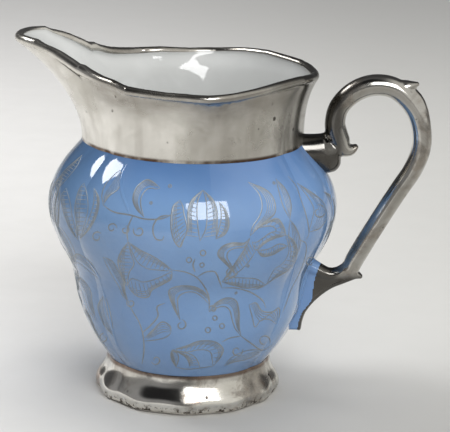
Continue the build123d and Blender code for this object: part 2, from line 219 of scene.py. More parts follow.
def foot_marks(tree, coords, colour, rough):
    """Copper showing in patches, a brown upper edge that is partly painted shade below the glaze's
    edge, and dark wear where the foot stands.
    """
    x, y, z = axes_of(tree, coords)
    copper = span(tree, noise(tree, coords, scale=85, detail=3, rough=0.55), 0.56, 0.66)
    copper = multiply(tree, copper, span(tree, z, *FOOT_COPPER_Z))
    colour = mix(tree, multiply(tree, copper, 0.75), colour, COPPER)
    # A brown seam line at the foot's top, partly painted shade under the glaze's edge
    colour = mix(tree, span(tree, z, *FOOT_SEAM_Z, 0.0, 0.8), colour, FOOT_SEAM_AND_SHADE)
    speck = span(tree, noise(tree, coords, scale=650, detail=3, rough=0.7), 0.5, 0.6)
    worn = multiply(tree, span(tree, z, *FOOT_WEAR_Z), speck)
    colour = mix(tree, worn, colour, WORN_DARK)
    return colour, add(tree, rough, multiply(tree, worn, 0.4))


def handle_marks(tree, coords, colour, rough):
    """Painted shade on the root beside the body and on the bracket."""
    x, y, z = axes_of(tree, coords)
    root = span(tree, x, *ROOT_SHADE_X)
    bracket = span(tree, z, *BRACKET_SHADE_Z)
    # Painted shade in the recesses beside the body and under the arm
    recess_shade = multiply(tree, math_node(tree, "MAXIMUM", root, bracket), 0.8)
    return mix(tree, recess_shade, colour, RECESS_PAINTED_SHADE), rough


def silver_material(name, add_marks, tarnish, patches, polish, shade=1.0):
    """Silver with cloudy tarnish, darker patches, fine pits and a softly uneven surface, under
    the piece's own marks. Patches says between which values of their noise they come up."""
    material, tree, shader, coords = new_material(name)
    cloud = noise(tree, coords, scale=55, detail=5, rough=0.6, distortion=0.4)
    fine = noise(tree, coords, scale=420, detail=4, rough=0.65)
    blotch = noise(tree, coords, scale=70, detail=4, rough=0.62, distortion=0.8)
    patch = span(tree, blotch, *patches)
    bright = tuple(shade * part for part in BRIGHT_SILVER)
    cloudy = tuple(shade * part for part in CLOUDY_SILVER)
    clean = mix(tree, span(tree, cloud, 0.35, 0.7), bright, cloudy)
    dull = mix(tree, span(tree, fine, 0.35, 0.65), DARK_TARNISH, LIGHT_TARNISH)
    colour = mix(tree, multiply(tree, patch, tarnish), clean, dull)
    cells = tree.nodes.new("ShaderNodeTexVoronoi")
    cells.inputs["Scale"].default_value = 210
    link(tree, coords, cells.inputs["Vector"])
    rare = span(tree, noise(tree, coords, scale=90, detail=2), 0.52, 0.6)
    pit = multiply(tree, span(tree, cells.outputs["Distance"], 0.16, 0.1), rare)
    colour = mix(tree, pit, colour, PIT_DARK)
    rough = span(tree, cloud, 0.3, 0.75, polish, polish + 0.1)
    rough = add(tree, rough, multiply(tree, patch, 0.12 * tarnish))
    colour, rough = add_marks(tree, coords, colour, rough)
    link(tree, colour, shader.inputs["Base Color"])
    link(tree, rough, shader.inputs["Roughness"])
    shader.inputs["Metallic"].default_value = 1.0
    swell = noise(tree, coords, scale=38, detail=2, rough=0.4)
    wavy = bump(tree, swell, strength=0.5, distance=0.0006)
    dents = bump(tree, pit, strength=0.6, distance=-0.0001, normal=wavy)
    grain = bump(tree, fine, strength=0.25, distance=0.00003, normal=dents)
    link(tree, grain, shader.inputs["Normal"])
    return material


def glaze_material():
    """Light blue glaze over porcelain, with painted shade under the collar and towards the lip."""
    material, tree, shader, coords = new_material("light_blue_glaze")
    x, y, z = axes_of(tree, coords)
    cloud = noise(tree, coords, scale=28, detail=3, rough=0.55, distortion=0.3)
    mottle = noise(tree, coords, scale=300, detail=4, rough=0.6)
    colour = mix(tree, span(tree, cloud, 0.3, 0.7), DEEP_BLUE, PALE_BLUE)
    colour = mix(tree, span(tree, mottle, 0.42, 0.75, 0.0, 0.25), colour, MOTTLED_BLUE)
    # Painted shade below the collar
    colour = mix(tree, span(tree, z, *UNDER_COLLAR_SHADE_Z, 0.0, 0.6), colour, UNDER_COLLAR_PAINTED_SHADE)
    # Painted shade on the side towards the lip
    colour = mix(tree, span(tree, x, *SPOUT_SIDE_SHADE_X, 0.0, 0.6), colour, SPOUT_SIDE_PAINTED_SHADE)
    link(tree, colour, shader.inputs["Base Color"])
    shader.inputs["Roughness"].default_value = 0.06
    shader.inputs["IOR"].default_value = 1.52
    shader.inputs["Coat Weight"].default_value = 0.6
    shader.inputs["Coat Roughness"].default_value = 0.03
    swell = noise(tree, coords, scale=45, detail=2, rough=0.4)
    wavy = bump(tree, swell, strength=0.35, distance=0.0005)
    orange_peel = noise(tree, coords, scale=380, detail=2, rough=0.5)
    skin = bump(tree, orange_peel, strength=0.15, distance=0.00002, normal=wavy)
    link(tree, skin, shader.inputs["Normal"])
    return material


def porcelain_material():
    """White glazed porcelain with a few specks, duller and unglazed where the foot stands."""
    material, tree, shader, coords = new_material("white_porcelain")
    x, y, z = axes_of(tree, coords)
    cloud = noise(tree, coords, scale=30, detail=3, rough=0.5)
    colour = mix(tree, span(tree, cloud, 0.3, 0.7), CLOUDY_WHITE, CLEAR_WHITE)
    fine = noise(tree, coords, scale=500, detail=2, rough=0.5)
    colour = mix(tree, span(tree, fine, 0.76, 0.8, 0.0, 0.6), colour, SPECK_GREY)
    bare = span(tree, z, *BARE_RING_Z)
    colour = mix(tree, bare, colour, BARE_WHITE)
    link(tree, colour, shader.inputs["Base Color"])
    link(tree, add(tree, multiply(tree, bare, 0.6), 0.07), shader.inputs["Roughness"])
    shader.inputs["IOR"].default_value = 1.5
    shader.inputs["Coat Weight"].default_value = 0.4
    shader.inputs["Coat Roughness"].default_value = 0.04
    swell = noise(tree, coords, scale=40, detail=2, rough=0.4)
    link(tree, bump(tree, swell, strength=0.3, distance=0.0005), shader.inputs["Normal"])
    return material


def line_material():
    """The drawn silver decoration, thin and greyed."""
    material, tree, shader, coords = new_material("silver_line")
    cloud = noise(tree, coords, scale=160, detail=4, rough=0.6)
    colour = mix(tree, span(tree, cloud, 0.35, 0.65), DARK_LINE, PALE_LINE)
    link(tree, colour, shader.inputs["Base Color"])
    shader.inputs["Metallic"].default_value = 0.35
    shader.inputs["Roughness"].default_value = 0.4
    link(tree, bump(tree, cloud, strength=0.3, distance=0.00003), shader.inputs["Normal"])
    return material


MATERIALS = {
    "porcelain": porcelain_material(),
    "glaze": glaze_material(),
    "collar": silver_material(
        "silver_collar", collar_marks, tarnish=0.4, patches=(0.54, 0.7), polish=0.2
    ),
    "foot": silver_material(
        "silver_foot", foot_marks, tarnish=0.75, patches=(0.5, 0.64), polish=0.12
    ),
    "handle": silver_material(
        "silver_handle", handle_marks, tarnish=0.8, patches=(0.47, 0.62), polish=0.12, shade=0.7
    ),
    "line": line_material(),
}


# The handle: one smooth casting, its limbs shaped as in the CAD and blended together

# Sizes are in millimetres. A station along a limb has its X and Z in the middle plane, half
# the limb's depth in that plane and half its width across it.
BELLY_R = 45.4
SKIRT_R = 36.3
SCROLL_X = 57.4
SCROLL_Z = 86.6
SCROLL_R = 14.0
BAR_HALF_DEPTH = 3.2
BAR_HALF_WIDTH = 3.7
ARM_SHARES = (0.21, 0.45, 0.68, 0.89)
ARM_BOW = 0.09
ARM_DEPTH = 0.94
ARM_WIDTH = 0.95
ARM_NARROWING = 0.1
ELBOW_X = 50.4
ELBOW_Z = 41.2
ROOT_X = 39.85
ROOT_Z = 78.8
LEAF_X = 71.4
LEAF_Z = 100.6
TOE_X = 34.6
TOE_Z = 20.2
DROP = ELBOW_Z - TOE_Z
WEB_HALF_WIDTH = 2.3
WEB_INNER_X = 25.0
WEB_POINTS = 24
RING_POINTS = 28
STATION_STEPS = 6
CURVE_STEPS = 12

# The casting's skin in metres: its voxels, how much it is smoothed, and how far into the
# body's wall it goes
SKIN_VOXEL = 0.00033
SMOOTHING_ROUNDS = 13
SMOOTHING_FACTOR = 0.5
BURIED = 0.0011

# The glaze in metres: on the bracket its top, the bare edge along the hem and its reach from
# the wall, which grows towards the toe, and on the belly the most that it stands off the wall
STRIP_TOP_Z = 0.046
HEM_BARE = 0.0004
STRIP_LOW_Z = 0.012
STRIP_RUN_Z = 0.034
STRIP_LEAST = 0.0025
STRIP_EXTRA = 0.008
BELLY_COAT = 0.0004

# The scroll from its curled end over the top to the arm: X and Z as shares of its radius, and
# half depth and half width as shares of the bar's
SCROLL = [
    (-0.42, -0.4, 0.2, 0.5),
    (-0.58, -0.5, 0.62, 0.8),
    (-0.76, -0.42, 1.0, 0.95),
    (-0.89, -0.16, 1.08, 1.0),
    (-0.945, 0.12, 1.02, 1.0),
    (-0.87, 0.457, 1.0, 1.0),
    (-0.62, 0.757, 1.04, 1.0),
    (-0.307, 0.936, 1.06, 1.0),
    (0.029, 0.993, 1.06, 1.0),
    (0.364, 0.921, 1.05, 1.0),
    (0.657, 0.7, 1.05, 1.0),
    (0.871, 0.4, 1.0, 1.0),
    (0.995, -0.01, 0.97, 0.97),
    (0.995, -0.46, 0.95, 0.95),
    (0.83, -0.925, 0.95, 0.95),
]
BAR = [
    (SCROLL_X + SCROLL_R * x, SCROLL_Z + SCROLL_R * z, BAR_HALF_DEPTH * d, BAR_HALF_WIDTH * w)
    for x, z, d, w in SCROLL
]
ARM_X, ARM_Z = BAR[-1][:2]
for share in ARM_SHARES:
    BAR.append(
        (
            ARM_X + (ELBOW_X - ARM_X) * share * (1 + ARM_BOW * (1 - share)),
            ARM_Z + (ELBOW_Z - ARM_Z) * share,
            BAR_HALF_DEPTH * ARM_DEPTH,
            BAR_HALF_WIDTH * (ARM_WIDTH - ARM_NARROWING * share),
        )
    )
BAR += [
    (ELBOW_X, ELBOW_Z, 2.8, 3.0),
    (ELBOW_X - 3.1, ELBOW_Z - 1.9, 2.3, 2.8),
    (ELBOW_X - 6.5, ELBOW_Z - 2.3, 2.05, 2.8),
    (ELBOW_X - 9.6, ELBOW_Z - 1.2, 2.3, 3.0),
    (SKIRT_R - 2.0, ELBOW_Z + 2.0, 3.0, 3.3),
]
ROOT = [
    (ROOT_X - 9.0, ROOT_Z, 5.7, 5.6),
    (ROOT_X - 3.6, ROOT_Z - 0.2, 5.7, 5.4),
    (ROOT_X + 1.4, ROOT_Z - 0.4, 6.4, 5.0),
    (ROOT_X + 2.7, ROOT_Z - 0.1, 6.4, 4.6),
    (ROOT_X + 3.8, ROOT_Z + 0.4, 5.4, 4.2),
    (ROOT_X + 4.8, ROOT_Z + 1.0, 3.5, 3.7),
    (ROOT_X + 5.6, ROOT_Z + 1.4, 2.0, 3.1),
]
THUMB = [
    (LEAF_X - 12.0, LEAF_Z - 1.6, 1.3, 1.6),
    (LEAF_X - 8.6, LEAF_Z - 0.5, 1.9, 2.2),
    (LEAF_X - 5.4, LEAF_Z - 0.3, 2.0, 2.6),
    (LEAF_X - 3.2, LEAF_Z + 0.2, 1.2, 2.0),
    (LEAF_X - 1.4, LEAF_Z + 0.6, 0.6, 1.0),
]
RIB = [
    (LEAF_X - 4.2, LEAF_Z - 1.2, 1.5, 2.3),
    (LEAF_X - 0.9, LEAF_Z - 5.0, 1.5, 2.2),
    (LEAF_X + 0.9, LEAF_Z - 10.8, 1.6, 2.1),
    (LEAF_X + 1.5, LEAF_Z - 17.0, 1.5, 1.9),
    (LEAF_X + 0.7, LEAF_Z - 24.0, 1.0, 1.3),
]
SPUR = [
    (ELBOW_X - 2.6, ELBOW_Z - 0.6, 2.3, 2.9),
    (ELBOW_X + 0.4, ELBOW_Z - 1.4, 2.5, 2.8),
    (ELBOW_X + 2.3, ELBOW_Z - 2.3, 1.4, 2.2),
    (ELBOW_X + 4.1, ELBOW_Z - 3.0, 0.6, 1.3),
]
HEM = [
    (TOE_X, TOE_Z + 0.3, 0.9, 2.6),
    (TOE_X + 0.4, TOE_Z + DROP * 0.15, 0.9, 2.6),
    (TOE_X + 1.6, TOE_Z + DROP * 0.32, 0.9, 2.6),
    (TOE_X + 4.8, TOE_Z + DROP * 0.52, 0.9, 2.6),
    (TOE_X + 9.4, TOE_Z + DROP * 0.7, 0.9, 2.6),
    (TOE_X + 14.2, TOE_Z + DROP * 0.805, 0.9, 2.5),
    (TOE_X + 18.4, TOE_Z + DROP * 0.87, 0.6, 1.5),
]


def along_curve(points, count):
    """Points spaced evenly on a smooth curve through the given ones, which may carry more
    values than a place. Spacing goes by the first two."""
    pts = np.array(points, float)
    ends = np.vstack([2 * pts[0] - pts[1], pts, 2 * pts[-1] - pts[-2]])
    t = np.linspace(0, 1, CURVE_STEPS + 1)[:-1, None]
    fine = []
    for a, b, c, d in zip(ends, ends[1:], ends[2:], ends[3:]):
        fine.append(
            0.5 * (2 * b + (c - a) * t + (2 * a - 5 * b + 4 * c - d) * t**2)
            + 0.5 * (3 * b - a - 3 * c + d) * t**3
        )
    fine = np.vstack(fine + [pts[-1:]])
    steps = np.hypot(*np.diff(fine[:, :2], axis=0).T)
    run = np.concatenate([[0], np.cumsum(steps)])
    marks = np.linspace(0, run[-1], count)
    return np.stack([np.interp(marks, run, fine[:, k]) for k in range(pts.shape[1])], 1)


def add_limb(mesh, stations):
    """A rounded bar in the middle plane along its stations."""
    run = along_curve(stations, STATION_STEPS * len(stations))
    slopes = np.gradient(run[:, :2], axis=0)
    slopes /= np.linalg.norm(slopes, axis=1)[:, None]
    rings = []
    for (x, z, depth, width), (dx, dz) in zip(run, slopes):
        ring = []
        for k in range(RING_POINTS):
            a = 2 * math.pi * k / RING_POINTS
            out = depth * math.cos(a)
            spot = ((x + dz * out) * MM, width * math.sin(a) * MM, (z - dx * out) * MM)
            ring.append(mesh.verts.new(spot))
        rings.append(ring)
    for one, two in zip(rings, rings[1:]):
        for k in range(RING_POINTS):
            after = (k + 1) % RING_POINTS
            mesh.faces.new((one[k], one[after], two[after], two[k]))
    mesh.faces.new(rings[0][::-1])
    mesh.faces.new(rings[-1])


def add_web(mesh):
    """The bracket's plate, from its curved hem up to the arm and in to the wall."""
    outline = [(x, z) for x, z, depth, width in along_curve(HEM[:-1], WEB_POINTS)]
    outline += [
        (HEM[-2][0], ELBOW_Z - 2.4),
        (WEB_INNER_X, ELBOW_Z + 1.2),
        (WEB_INNER_X, TOE_Z + 0.3),
    ]
    sides = []
    for y in (-WEB_HALF_WIDTH, WEB_HALF_WIDTH):
        sides.append([mesh.verts.new((x * MM, y * MM, z * MM)) for x, z in outline])
    mesh.faces.new(sides[0])
    mesh.faces.new(sides[1][::-1])
    for k in range(len(outline)):
        mesh.faces.new((sides[0][k - 1], sides[0][k], sides[1][k], sides[1][k - 1]))


def smooth_union(mesh):
    """The mesh's overlapping bodies as one skin with soft inner corners."""
    data = bpy.data.meshes.new("rough")
    mesh.to_mesh(data)
    rough = bpy.data.objects.new("rough", data)
    bpy.context.scene.collection.objects.link(rough)
    remesh = rough.modifiers.new("remesh", "REMESH")
    remesh.mode = "VOXEL"
    remesh.voxel_size = SKIN_VOXEL
    relax = rough.modifiers.new("relax", "SMOOTH")
    relax.factor = SMOOTHING_FACTOR
    relax.iterations = SMOOTHING_ROUNDS
    graph = bpy.context.evaluated_depsgraph_get()
    done = bpy.data.meshes.new_from_object(rough.evaluated_get(graph))
    result = bmesh.new()
    result.from_mesh(done)
    bpy.data.objects.remove(rough)
    return result


def tree_of(thing):
    """A search tree over an object's faces."""
    mesh = bmesh.new()
    mesh.from_mesh(thing.data)
    made = BVHTree.FromBMesh(mesh)
    mesh.free()
    return made


def add_piece(name, mesh, finish, slot_name, *replaced):
    """A mesh as a piece of the visual model, in place of the nodes it replaces."""
    data = bpy.data.meshes.new(name)
    mesh.to_mesh(data)
    piece = bpy.data.objects.new(name, data)
    bpy.context.scene.collection.objects.link(piece)
    data.materials.append(MATERIALS[finish])
    data.shade_smooth()
    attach(piece, "root")
    if replaced:
        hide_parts(*replaced)
    return piece


def on_glazed_strip(middle):
    """Whether a face of the handle lies in the bracket's glaze, which is wider at its toe."""
    share = min(max((middle.z - STRIP_LOW_Z) / STRIP_RUN_Z, 0), 1)
    reach = STRIP_LEAST + STRIP_EXTRA * (1 - share) ** 3
    hem_x = np.interp(middle.z, hem_heights, hem_places)
    near_wall = porcelain_tree.find_nearest(middle)[3] < reach
    return near_wall and middle.x < hem_x - HEM_BARE and middle.z < STRIP_TOP_Z


porcelain_tree = tree_of(nodes["porcelain_body"])
hem_heights = [z * MM for x, z, depth, width in HEM]
hem_places = [x * MM for x, z, depth, width in HEM]
limbs = bmesh.new()
for stations in (BAR, ROOT, THUMB, RIB, SPUR, HEM):
    add_limb(limbs, stations)
add_web(limbs)
casting = smooth_union(limbs)
buried = []
for vertex in casting.verts:
    place, normal, index, depth = porcelain_tree.ray_cast(vertex.co, (1, 0, 0))
    if place is not None and depth > BURIED:
        buried.append(vertex)
bmesh.ops.delete(casting, geom=buried, context="VERTS")
strip = casting.copy()
for mesh, glazed in ((casting, False), (strip, True)):
    others = [f for f in mesh.faces if on_glazed_strip(f.calc_center_median()) != glazed]
    bmesh.ops.delete(mesh, geom=others, context="FACES")
add_piece("handle_silver", casting, "handle", "silver", "silver_handle", "porcelain_handle")
add_piece("handle_glaze", strip, "glaze", "blue_glaze", "blue_glaze")

# The belly's coat alone, without the CAD's strip on the bracket
belly = bmesh.new()
belly.from_mesh(nodes["blue_glaze"].data)
loose = [v for v in belly.verts if porcelain_tree.find_nearest(v.co)[3] > BELLY_COAT]
bmesh.ops.delete(belly, geom=loose, context="VERTS")
belly_piece = add_piece("belly_glaze", belly, "glaze", "blue_glaze", "blue_glaze")


# The body, collar and foot, softened as glaze and silver soften moulded edges

# Turns are degrees about the jug's axis from the handle, and sizes are in metres. A spread
# counts steps of a turn. At each crisp turn a share of the creases stays as modelled.
# Softening sets in over the collar's lowest share, and points nearer the axis than an inner
# radius stay.
COLLAR_Z = 0.0818
RIM_MARGIN = 0.0012
OUTSIDE_R = 0.08
TURN_STEP = 1.5
TURN_REACH = 1.6
RISE_COUNT = 13
FOLD_SPREAD = 3.2
RIM_SPREAD = 3.0
CRISP_TURNS = [0, 45, 65, 130, 145, 162, 180]
CRISP_SHARES = [0.55, 0.55, 0, 0, 0.35, 0.75, 0.75]
SET_IN_SHARE = 0.15
HIGHEST_RISE = 1.1
WELD = 2e-6
SHARP_ANGLE = 55
LOBES = 12
LOBE_HEIGHT = 0.00028
LOBE_TOP_Z = 0.011
LOBE_RUN_Z = 0.008
FOOT_INNER_R = 0.015
COLLAR_INNER_R = 0.02
TINY_R = 1e-6

# The rim's waves in front and behind, each a turn and a lift in millimetres
FRONT_WAVE = [
    (0, 0.0), (24, 0.0), (40, -0.3), (55, -0.7), (70, -1.0), (82, -0.9), (92, -0.9),
    (102, -1.25), (112, -1.2), (121, -1.0), (130, -0.4), (138, -0.6), (150, -0.3), (160, 0.0),
]
BACK_WAVE = [
    (0, 0.0), (20, -0.3), (35, 0.0), (50, 0.35), (65, 0.1), (80, -0.5), (95, -0.6),
    (110, -0.1), (125, -0.6), (140, -0.6), (155, 0.0),
]


def plain_copy(name, finish, slot_name, source):
    """A node's mesh as a piece of its own, its seams welded so that it shades smoothly."""
    mesh = bmesh.new()
    mesh.from_mesh(nodes[source].data)
    bmesh.ops.remove_doubles(mesh, verts=mesh.verts, dist=WELD)
    piece = add_piece(name, mesh, finish, slot_name, source)
    if "custom_normal" in piece.data.attributes:
        piece.data.attributes.remove(piece.data.attributes["custom_normal"])
    piece.data.set_sharp_from_angle(angle=math.radians(SHARP_ANGLE))
    return piece


def places(piece):
    spots = np.empty(3 * len(piece.data.vertices))
    piece.data.vertices.foreach_get("co", spots)
    return spots.reshape(-1, 3)


def blurred(rows, spread):
    """Rows of values over half a turn, each smoothed along it and mirrored at its ends."""
    reach = int(3 * spread)
    weights = np.exp(-0.5 * (np.arange(-reach, reach + 1) / spread) ** 2)
    weights /= weights.sum()
    padded = np.pad(rows, ((0, 0), (reach, reach)), mode="reflect")
    return np.array([np.convolve(row, weights, mode="valid") for row in padded])


def on_grid(grid, rise, turn):
    """Values between the rows and columns of a grid, at shares of both from 0 to 1."""
    a = np.clip(rise, 0, 1) * (grid.shape[0] - 1)
    b = np.clip(turn, 0, 1) * (grid.shape[1] - 1)
    i = np.minimum(a.astype(int), grid.shape[0] - 2)
    j = np.minimum(b.astype(int), grid.shape[1] - 2)
    u, v = a - i, b - j
    low = grid[i, j] * (1 - v) + grid[i, j + 1] * v
    high = grid[i + 1, j] * (1 - v) + grid[i + 1, j + 1] * v
    return low * (1 - u) + high * u


def wall_radius(turn, z):
    """How far the body's outside is from the axis, or None where a ray misses it."""
    a = math.radians(turn)
    out = Vector((math.cos(a), math.sin(a), 0))
    hit = porcelain_tree.ray_cast(Vector((0, 0, z)) + out * OUTSIDE_R, -out)[0]
    return math.hypot(hit.x, hit.y) if hit else None


body_spots = places(nodes["porcelain_body"])
body_turns = np.degrees(np.arctan2(np.abs(body_spots[:, 1]), body_spots[:, 0]))
turns = np.arange(0, 181, TURN_STEP)
rim_heights = np.array(
    [body_spots[np.abs(body_turns - turn) < TURN_REACH, 2].max() for turn in turns]
)
radii = np.zeros((RISE_COUNT, len(turns)))
for i, rise in enumerate(np.linspace(0, 1, RISE_COUNT)):
    for j, turn in enumerate(turns):
        z = COLLAR_Z + rise * (rim_heights[j] - RIM_MARGIN - COLLAR_Z)
        radii[i, j] = wall_radius(turn, z) or radii[max(i - 1, 0), j]
kept_crisp = np.interp(turns, CRISP_TURNS, CRISP_SHARES)
outward = (blurred(radii, FOLD_SPREAD) - radii) * (1 - kept_crisp)
upward = (blurred(rim_heights[None], RIM_SPREAD) - rim_heights)[0]


def soften(piece):
    """Softens a piece's creases from the collar up, waves its rim and shapes the foot's
    lobes."""
    spots = places(piece)
    x, y, z = spots.T
    radius = np.hypot(x, y)
    turn = np.degrees(np.arctan2(np.abs(y), x))
    rise = (z - COLLAR_Z) / (np.interp(turn, turns, rim_heights) - COLLAR_Z)
    set_in = np.clip(rise / SET_IN_SHARE, 0, 1)
    step = on_grid(outward, rise, turn / 180) * set_in * (radius > COLLAR_INNER_R)
    lobes = LOBE_HEIGHT * np.cos(np.radians(LOBES * turn))
    lobes = lobes * np.clip((LOBE_TOP_Z - z) / LOBE_RUN_Z, 0, 1)
    step = step + lobes * (radius > FOOT_INNER_R) * (z < LOBE_TOP_Z)
    front_wave = np.interp(turn, *np.array(FRONT_WAVE).T)
    back_wave = np.interp(turn, *np.array(BACK_WAVE).T)
    lift = np.interp(turn, turns, upward) + np.where(y < 0, front_wave, back_wave) * MM
    spots[:, 0] += x / np.maximum(radius, TINY_R) * step
    spots[:, 1] += y / np.maximum(radius, TINY_R) * step
    spots[:, 2] += lift * np.clip(rise, 0, HIGHEST_RISE) ** 2 * set_in
    piece.data.vertices.foreach_set("co", spots.ravel())
    piece.data.update()


soften(plain_copy("jug_body", "porcelain", "porcelain", "porcelain_body"))
soften(plain_copy("collar", "collar", "silver", "silver_collar"))
soften(plain_copy("foot", "foot", "silver", "silver_foot"))


# The decoration: traditional flowers, leaves and tendrils drawn in thin silver lines

# Places are pixels in the camera's frame, carried onto the glaze along its sight lines. A
# line needs a few steps, each a little over a pixel long, on glaze that faces the sight line.
FOCAL = CAMERA_LENS / SENSOR_WIDTH * FRAME_WIDTH
STEP_PIXELS = 1.3
FEWEST_STEPS = 4
LEAST_FACING = 0.12

# Lines in millimetres: their widths, how far their edges clear the glaze and how high they
# rise. The crown, the ends, the second edges, the berries' lines and the hatches are shares
# of these, and the ends widen steadily along the line.
LINE = 0.46
FINE = 0.22
EDGE_CLEARANCE = 0.02
LINE_RISE = 0.05
RIB_WIDTH = 1.1
RIB_RISE = 0.16
CROWN = 0.4
END_WIDTH = 0.35
END_WIDENING = 4
SECOND_EDGE = 0.8
BERRY_LINE = 0.9
HATCH_REACH = 0.9

# How curls wind, berries are rounded and leaves and petals are shaded: each shading is a
# number of lines and the share of the leaf or petal that they cover
CURL_POINTS = 15
CURL_TURN = 26
CURL_CLOSING = 0.045
BERRY_SIDES = 8
EDGE_POINTS = 14
LEAF_SHADING = (4, 0.75)
PETAL_SHADING = (3, 0.5)
PETAL_HATCHES = 12
MOVED_HATCHES = 10

# Stems and long tendrils, as the points that each runs through
STEMS = [
    [(172, 270), (185, 272), (196, 277), (204, 286), (209, 298), (209, 311)],
    [(172, 215), (160, 219), (145, 219), (130, 215), (114, 212), (103, 205)],
    [(171, 215), (160, 217), (154, 224), (153, 232), (156, 239), (162, 240), (164, 236)],
    [(128, 242), (127, 232), (129, 224), (133, 216)],
    [(195, 272), (193, 265), (195, 259)],
    [(197, 277), (206, 272), (215, 272), (219, 280), (222, 288)],
    [(128, 302), (133, 312), (139, 322), (143, 335), (144, 350), (142, 364)],
    [(142, 333), (151, 325), (158, 316), (157, 307), (165, 303)],
    [(222, 288), (235, 288), (250, 292), (262, 300), (266, 308)],
    [(241, 336), (230, 338), (222, 342)],
    [(280, 318), (286, 304), (291, 290), (299, 274), (305, 258), (306, 244), (300, 240)],
    [(251, 290), (262, 287), (274, 279), (290, 270)],
    [(98, 272), (103, 290), (109, 308), (112, 322), (114, 336), (120, 350), (128, 360)],
    [(241, 336), (252, 344), (262, 350), (272, 345)],
    [(176, 367), (186, 369), (200, 368), (213, 366)],
    [(288, 176), (296, 186), (301, 200), (306, 215), (309, 232), (306, 240)],
]

# Curled tendrils: centre, radius, first angle in degrees and way round
CURLS = [
    (125, 230, 4.5, 80, -1),
    (139, 231, 6.0, 150, 1),
    (97, 237, 5.5, 40, 1),
    (156, 360, 5.0, 200, 1),
    (237, 351, 6.0, 20, -1),
    (264, 341, 6.5, -30, 1),
    (131, 303, 4.5, 150, 1),
    (181, 325, 5.5, 80, -1),
    (112, 228, 5.0, 0, 1),
    (231, 272, 6.5, 10, -1),
    (104, 338, 5.0, 90, 1),
    (213, 309, 4.0, 180, -1),
    (319, 212, 7.5, 100, -1),
    (310, 262, 5.0, 40, 1),
]

# Berries: centre and radius
BERRIES = [
    (189, 260, 2.6),
    (203, 253, 2.8),
    (202, 265, 2.2),
    (215, 318, 2.3),
    (222, 326, 2.5),
    (208, 330, 2.6),
    (151, 203, 1.3),
    (248, 266, 1.3),
    (274, 183, 1.3),
    (170, 186, 1.5),
    (236, 293, 1.2),
    (120, 261, 1.4),
]

# Two edges each, from root to tip, with shading lines laid between them from the first edge
LEAVES = [
    (
        [(144, 217), (136, 208), (133, 198), (137, 187), (146, 180), (153, 182), (160, 188)],
        [(144, 217), (141, 207), (141, 198), (146, 190), (152, 188), (156, 189), (160, 188)],
    ),
    (
        [(250, 236), (258, 228), (268, 220), (275, 212), (274, 200), (266, 190), (248, 182)],
        [(250, 236), (253, 226), (259, 217), (262, 208), (261, 199), (257, 191), (248, 182)],
    ),
    (
        [(250, 238), (244, 243), (232, 243), (222, 247), (218, 255), (226, 264), (236, 274)],
        [(250, 240), (244, 247), (236, 248), (229, 251), (227, 257), (231, 265), (236, 274)],
    ),
    (
        [(209, 302), (205, 293), (195, 287), (180, 286), (169, 291), (173, 306), (180, 320)],
        [(209, 304), (201, 296), (193, 292), (184, 293), (178, 298), (178, 309), (180, 320)],
    ),
    (
        [(209, 312), (216, 303), (227, 298), (236, 301), (239, 312), (239, 325), (241, 336)],
        [(209, 312), (219, 307), (226, 307), (230, 311), (232, 319), (235, 328), (241, 336)],
    ),
    (
        [(276, 324), (279, 318), (279, 308), (272, 312), (262, 311), (256, 303), (249, 305)],
        [(276, 324), (271, 320), (265, 319), (260, 321), (255, 327), (252, 316), (249, 305)],
    ),
    (
        [(145, 338), (153, 330), (162, 322), (170, 326), (171, 332)],
        [(145, 341), (155, 340), (164, 338), (169, 335), (171, 332)],
    ),
    (
        [(98, 274), (92, 264), (84, 257), (77, 254), (72, 258)],
        [(98, 278), (90, 272), (83, 266), (77, 262), (72, 258)],
    ),
    (
        [(74, 263), (78, 275), (85, 282), (91, 292), (92, 302), (96, 320)],
        [(74, 263), (77, 280), (82, 292), (86, 302), (90, 312), (96, 320)],
    ),
    (
        [(103, 257), (112, 261), (118, 270), (124, 282), (125, 292), (129, 303)],
        [(103, 257), (107, 266), (113, 277), (119, 287), (123, 296), (129, 303)],
    ),
    (
        [(103, 205), (109, 196), (118, 189), (122, 178), (120, 170)],
        [(103, 205), (102, 194), (106, 184), (113, 176), (120, 170)],
    ),
    (
        [(309, 232), (320, 228), (327, 216), (323, 202), (311, 192), (297, 183)],
        [(309, 232), (312, 220), (314, 210), (311, 202), (305, 193), (297, 183)],
    ),
    (
        [(290, 262), (298, 252), (300, 240), (296, 228), (290, 220)],
        [(290, 262), (291, 250), (289, 240), (289, 230), (290, 220)],
    ),
    (
        [(114, 336), (106, 328), (101, 318), (98, 306), (103, 296)],
        [(114, 336), (111, 325), (108, 316), (106, 306), (103, 296)],
    ),
    (
        [(55, 222), (60, 235), (66, 246), (70, 256), (76, 268)],
        [(55, 222), (64, 232), (71, 243), (75, 254), (76, 268)],
    ),
    (
        [(262, 350), (254, 356), (244, 360), (234, 362), (224, 366)],
        [(262, 350), (250, 350), (240, 353), (231, 358), (224, 366)],
    ),
    (
        [(276, 179), (286, 190), (291, 204), (290, 219)],
        [(276, 179), (279, 192), (283, 206), (290, 219)],
    ),
]

